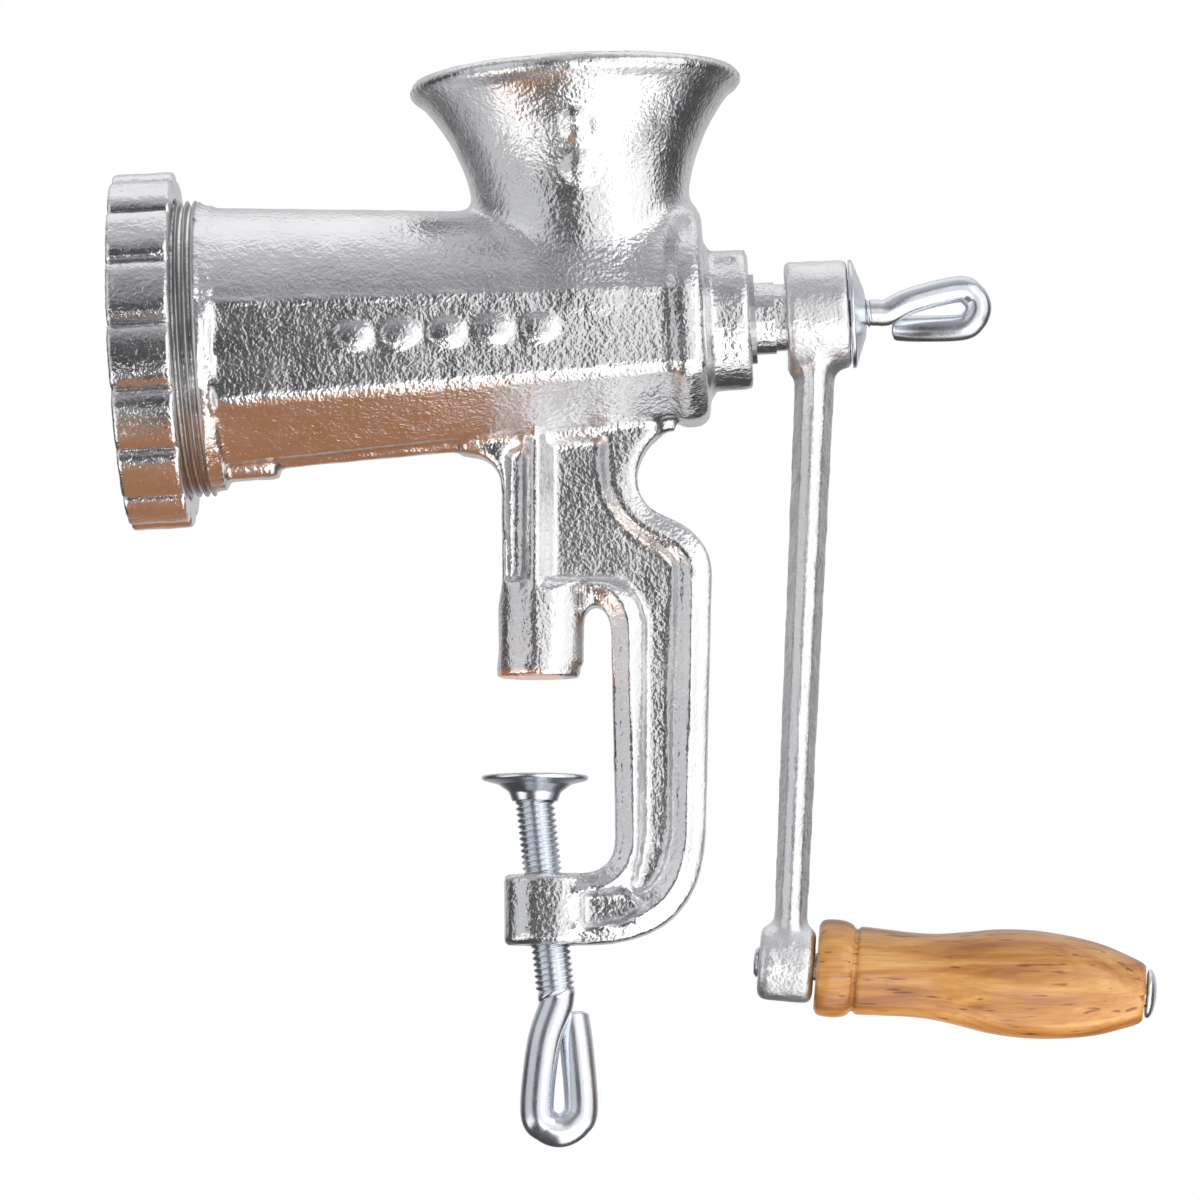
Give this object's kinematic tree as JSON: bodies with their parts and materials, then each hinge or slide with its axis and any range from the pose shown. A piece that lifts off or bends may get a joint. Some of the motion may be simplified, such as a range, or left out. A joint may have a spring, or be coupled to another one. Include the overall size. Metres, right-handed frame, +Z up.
{
  "type": "hand crank meat grinder",
  "caption": "Table-clamped hand crank meat grinder with funnel hopper, faceted barrel, fluted ring nut, worm, knife, plate, crank with wooden grip and eye-ended clamp screw.",
  "frame": {"origin": "centre of the clamp pad's underside, where the grinder rests on a table top", "axes": "+Z up out of the table top, +X from the mouth towards the crank, +Y across the clamp frame, away from the side with the raised ornaments"},
  "size_m": [0.2605, 0.0896, 0.2706],
  "materials": {
    "tinned_iron": "hot-tinned sand casting, bright with a coarse grain",
    "zinc_steel": "bright zinc plating",
    "cutting_steel": "ground steel",
    "bush_steel": "turned steel, dull",
    "fibre": "pressed fibre",
    "varnished_wood": "varnished hardwood"
  },
  "bodies": {
    "body": {"body_casting": "tinned_iron", "plate_key": "cutting_steel", "thrust_washer": "fibre", "rear_bush": "bush_steel"},
    "plate": {"grinding_plate": "cutting_steel"},
    "ring": {"ring_nut": "tinned_iron"},
    "crank": {"auger": "tinned_iron", "drive_stub": "cutting_steel", "cutter_knife": "cutting_steel", "crank_arm": "tinned_iron", "handle_rivet": "zinc_steel"},
    "grip": {"handle_grip": "varnished_wood"},
    "washer": {"crank_washer": "zinc_steel"},
    "eye_screw": {"crank_eye_screw": "zinc_steel"},
    "disc": {"clamp_disc": "zinc_steel"},
    "screw": {"clamp_screw": "zinc_steel"}
  },
  "joints": [
    {"name": "crank_turn", "type": "hinge", "parent": "body", "child": "crank", "pos_m": [0, 0, 0.0873], "axis": [0.9987, 0, 0.0506], "continuous": true},
    {"name": "grip_spin", "type": "hinge", "parent": "crank", "child": "grip", "pos_m": [0.06162, 0, -0.07159], "axis": [0.9966, 0, -0.0819], "continuous": true},
    {"name": "plate_slide", "type": "slide", "parent": "body", "child": "plate", "axis": [-0.9987, 0, -0.0506], "range_m": [0, 0.01205]},
    {"name": "ring_turn", "type": "hinge", "parent": "plate", "child": "ring", "pos_m": [0, 0, 0.0873], "axis": [-0.9987, 0, -0.0506], "range_deg": [0, 2160]},
    {"name": "disc_travel", "type": "slide", "parent": "body", "child": "disc", "axis": [-0.1097, 0, 0.994], "range_m": [-0.017, 0.009]},
    {"name": "clamp_screw_turn", "type": "hinge", "parent": "disc", "child": "screw", "pos_m": [-0.001, 0, -0.0312], "axis": [-0.1097, 0, 0.994], "range_deg": [-4081, 2161]},
    {"name": "washer_slide", "type": "slide", "parent": "crank", "child": "washer", "axis": [0.9987, 0, 0.0506], "range_m": [0, 0.01]},
    {"name": "eye_screw_turn", "type": "hinge", "parent": "washer", "child": "eye_screw", "pos_m": [0, 0, 0.0873], "axis": [0.9987, 0, 0.0506], "range_deg": [-1, 2881]}
  ],
  "couplings": [
    {"joint": "plate_slide", "follows": "ring_turn", "m_per_rad": 0.00031831},
    {"joint": "clamp_screw_turn", "follows": "disc_travel", "rad_per_m": 4188.8},
    {"joint": "eye_screw_turn", "follows": "washer_slide", "rad_per_m": 5026.6}
  ]
}
